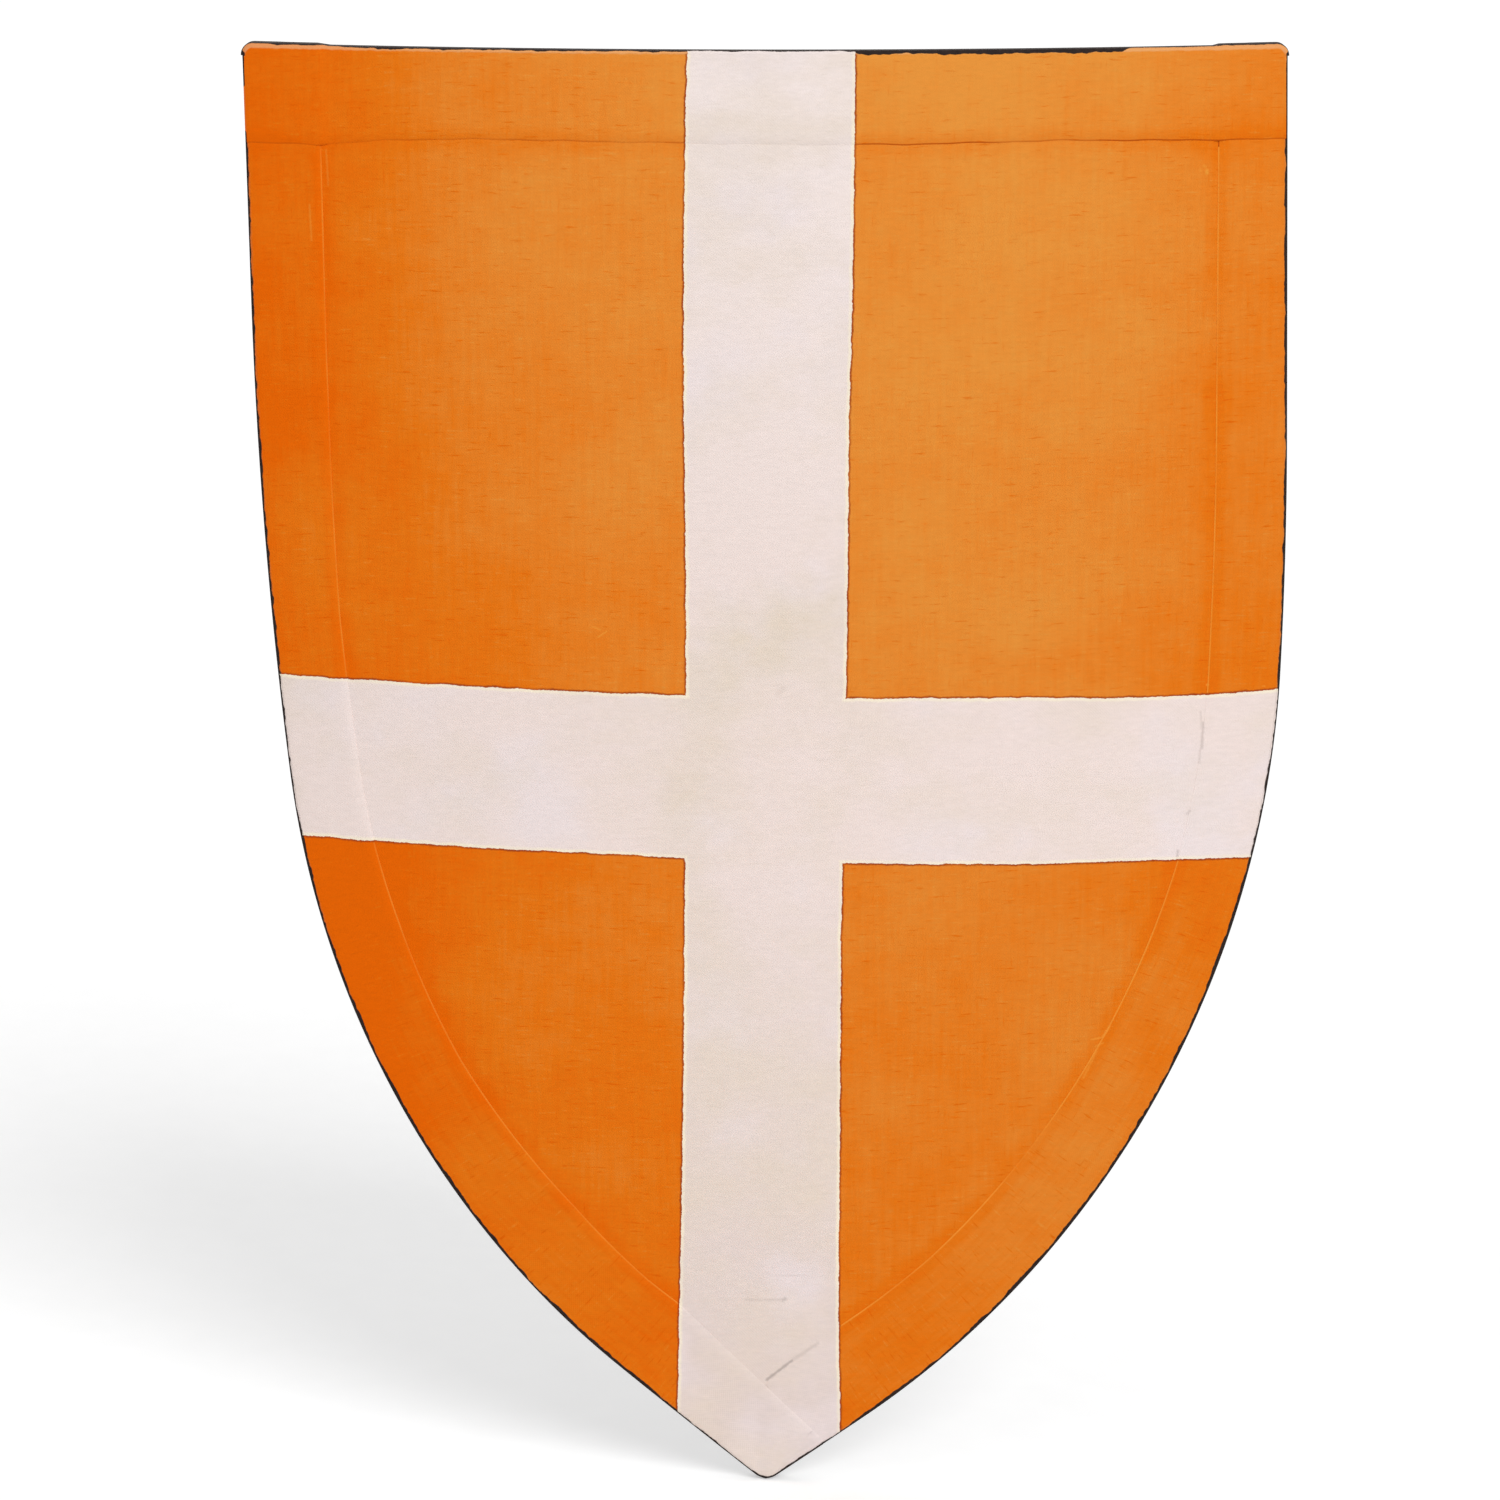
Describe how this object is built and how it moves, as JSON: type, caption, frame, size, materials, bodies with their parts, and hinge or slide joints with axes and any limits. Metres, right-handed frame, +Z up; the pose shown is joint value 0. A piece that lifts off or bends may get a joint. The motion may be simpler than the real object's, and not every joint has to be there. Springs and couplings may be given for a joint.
{
  "type": "shield",
  "caption": "Curved wooden heater shield covered in painted linen, with edge strips, arm pad, arm straps and an unbuckled shoulder strap.",
  "frame": {"origin": "middle of the arm pad's rear face, where the forearm lies", "axes": "+Z up the shield towards its top edge, +Y from the board towards the bearer, +X towards the bearer's left"},
  "size_m": [0.5645, 0.1373, 0.7842],
  "materials": {
    "painted_linen": "matt paint on glued linen",
    "plywood": "bare glued ply",
    "back_linen": "linen painted dark brown",
    "strap_leather": "oiled vegetable-tanned leather",
    "soft_leather": "soft tan leather",
    "wool": "packed raw wool",
    "copper": "hammered copper",
    "brass": "dulled brass",
    "iron": "forged and waxed iron"
  },
  "bodies": {
    "board": {"back_lining": "back_linen", "back_ply": "plywood", "edge_strip_left": "painted_linen", "edge_strip_right": "painted_linen", "edge_strip_top": "painted_linen", "forearm_rivet_1": "copper", "forearm_rivet_2": "copper", "forearm_rivet_3": "copper", "forearm_rivet_4": "copper", "forearm_rove_1": "copper", "forearm_rove_2": "copper", "forearm_rove_3": "copper", "forearm_rove_4": "copper", "forearm_strap": "strap_leather", "front_cover": "painted_linen", "front_ply": "plywood", "grip_rivet_1": "copper", "grip_rivet_2": "copper", "grip_rivet_3": "copper", "grip_rivet_4": "copper", "grip_rove_1": "copper", "grip_rove_2": "copper", "grip_rove_3": "copper", "grip_rove_4": "copper", "grip_strap": "strap_leather", "grip_wrap": "soft_leather", "middle_ply": "plywood", "pad_cover": "soft_leather", "pad_filling": "wool", "pad_tack_1": "brass", "pad_tack_10": "brass", "pad_tack_2": "brass", "pad_tack_3": "brass", "pad_tack_4": "brass", "pad_tack_5": "brass", "pad_tack_6": "brass", "pad_tack_7": "brass", "pad_tack_8": "brass", "pad_tack_9": "brass", "strap_tab_left": "strap_leather", "strap_tab_left_rivet_1": "copper", "strap_tab_left_rivet_2": "copper", "strap_tab_left_rove_1": "copper", "strap_tab_left_rove_2": "copper", "strap_tab_right": "strap_leather", "strap_tab_right_rivet_1": "copper", "strap_tab_right_rivet_2": "copper", "strap_tab_right_rove_1": "copper", "strap_tab_right_rove_2": "copper"},
    "loop_left": {"wire_loop_left": "iron"},
    "long_strap": {"long_strap": "strap_leather"},
    "loop_right": {"wire_loop_right": "iron"},
    "buckle_strap": {"buckle_strap": "strap_leather"},
    "buckle_frame": {"buckle_frame": "iron"},
    "buckle_prong": {"buckle_prong": "iron"},
    "buckle_roller": {"buckle_roller": "iron"},
    "keeper": {"strap_keeper": "strap_leather"}
  },
  "joints": [
    {"name": "loop_left_swing", "type": "hinge", "parent": "board", "child": "loop_left", "pos_m": [0.15099, 0.00194, 0.231], "axis": [0.9812, 0.1929, 0], "range_deg": [0, 90]},
    {"name": "long_strap_swing", "type": "hinge", "parent": "loop_left", "child": "long_strap", "pos_m": [0.15099, 0.00194, 0.213], "axis": [0.9812, 0.1929, 0], "range_deg": [0, 85]},
    {"name": "loop_right_swing", "type": "hinge", "parent": "board", "child": "loop_right", "pos_m": [-0.15099, 0.00194, 0.231], "axis": [0.9812, -0.1929, 0], "range_deg": [0, 90]},
    {"name": "buckle_strap_swing", "type": "hinge", "parent": "loop_right", "child": "buckle_strap", "pos_m": [-0.15099, 0.00194, 0.213], "axis": [0.9812, -0.1929, 0], "range_deg": [0, 85]},
    {"name": "buckle_frame_swing", "type": "hinge", "parent": "buckle_strap", "child": "buckle_frame", "pos_m": [-0.15099, 0.00194, -0.037], "axis": [0.9812, -0.1929, 0], "range_deg": [0, 60]},
    {"name": "buckle_prong_swing", "type": "hinge", "parent": "buckle_frame", "child": "buckle_prong", "pos_m": [-0.15099, 0.00194, -0.037], "axis": [0.9812, -0.1929, 0], "range_deg": [0, 85]},
    {"name": "buckle_roller_spin", "type": "hinge", "parent": "buckle_frame", "child": "buckle_roller", "pos_m": [-0.15099, 0.00194, -0.063], "axis": [0.9812, -0.1929, 0], "continuous": true},
    {"name": "keeper_slide", "type": "slide", "parent": "buckle_strap", "child": "keeper", "axis": [0, 0, 1], "range_m": [0, 0.115]}
  ]
}
